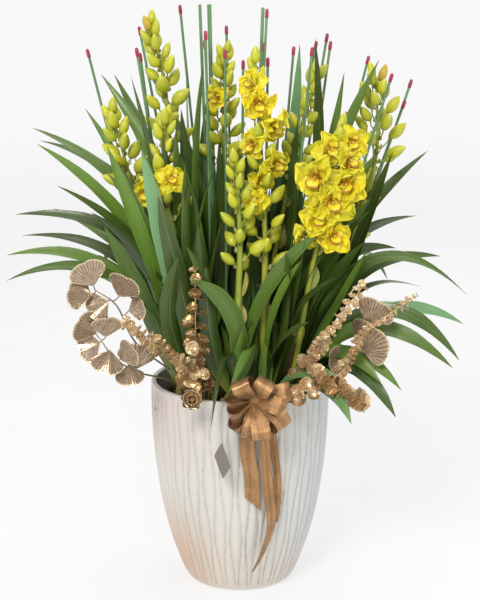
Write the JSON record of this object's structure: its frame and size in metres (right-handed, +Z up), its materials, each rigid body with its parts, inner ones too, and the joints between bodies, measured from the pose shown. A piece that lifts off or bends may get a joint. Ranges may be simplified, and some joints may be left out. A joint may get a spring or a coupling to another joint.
{
  "type": "orchid in a vase",
  "caption": "Potted cymbidium orchids in a tall ribbed ceramic planter, with strap leaves, yellow flower spikes, thin stakes, gold dried sprays, a satin bow and a hanging tag.",
  "frame": {"origin": "centre of the planter's flat base, on the plane it rests on", "axes": "+Z up, -Y towards the front, where the bow is, +X to the right seen from the front"},
  "size_m": [0.891, 0.642, 1.1322],
  "materials": {
    "planter_ceramic": "warm white matt glaze with a faint peach tint low down",
    "potting_mix": "dark bark chips",
    "leaf": "satin living leaf",
    "flower_spike": "waxy yellow-green petals",
    "stake": "green with crimson ends",
    "gold_leaf": "metallic gold paint",
    "satin_ribbon": "bronze satin",
    "tag_card": "matt printed card",
    "tag_thread": "twisted thread"
  },
  "bodies": {
    "root": {"bow_knot": "satin_ribbon", "bow_loop_back": "satin_ribbon", "bow_loop_left": "satin_ribbon", "bow_loop_right": "satin_ribbon", "bow_loop_slender": "satin_ribbon", "bow_loop_small": "satin_ribbon", "bow_loop_top": "satin_ribbon", "bow_tail_left": "satin_ribbon", "bow_tail_middle": "satin_ribbon", "bow_tail_right": "satin_ribbon", "gold_fan_lower": "gold_leaf", "gold_fan_upper": "gold_leaf", "gold_leaf_right": "gold_leaf", "gold_petals": "gold_leaf", "gold_rosette": "gold_leaf", "gold_spray_dark": "gold_leaf", "gold_spray_low": "gold_leaf", "gold_spray_right": "gold_leaf", "gold_spray_upper": "gold_leaf", "planter": "planter_ceramic", "potting_mix": "potting_mix", "shoot_back": "leaf", "shoot_back_left": "leaf", "shoot_centre_left": "leaf", "shoot_centre_right": "leaf", "shoot_front": "leaf", "shoot_front_left": "leaf", "shoot_front_right": "leaf", "shoot_left": "leaf", "shoot_left_back": "leaf", "shoot_left_front": "leaf", "shoot_mid_left": "leaf", "shoot_right": "leaf", "shoot_right_back": "leaf", "shoot_right_front": "leaf", "spike_centre": "flower_spike", "spike_centre_back": "flower_spike", "spike_centre_right": "flower_spike", "spike_centre_yellow": "flower_spike", "spike_left_back": "flower_spike", "spike_left_front": "flower_spike", "spike_left_top": "flower_spike", "spike_right_back": "flower_spike", "spike_right_flowers": "flower_spike", "spike_right_top": "flower_spike", "stake_01": "stake", "stake_02": "stake", "stake_03": "stake", "stake_04": "stake", "stake_05": "stake", "stake_06": "stake", "stake_07": "stake", "stake_08": "stake", "stake_09": "stake", "stake_10": "stake", "stake_11": "stake", "stake_12": "stake", "stake_13": "stake", "tag": "tag_card", "tag_thread": "tag_thread"}
  },
  "joints": []
}
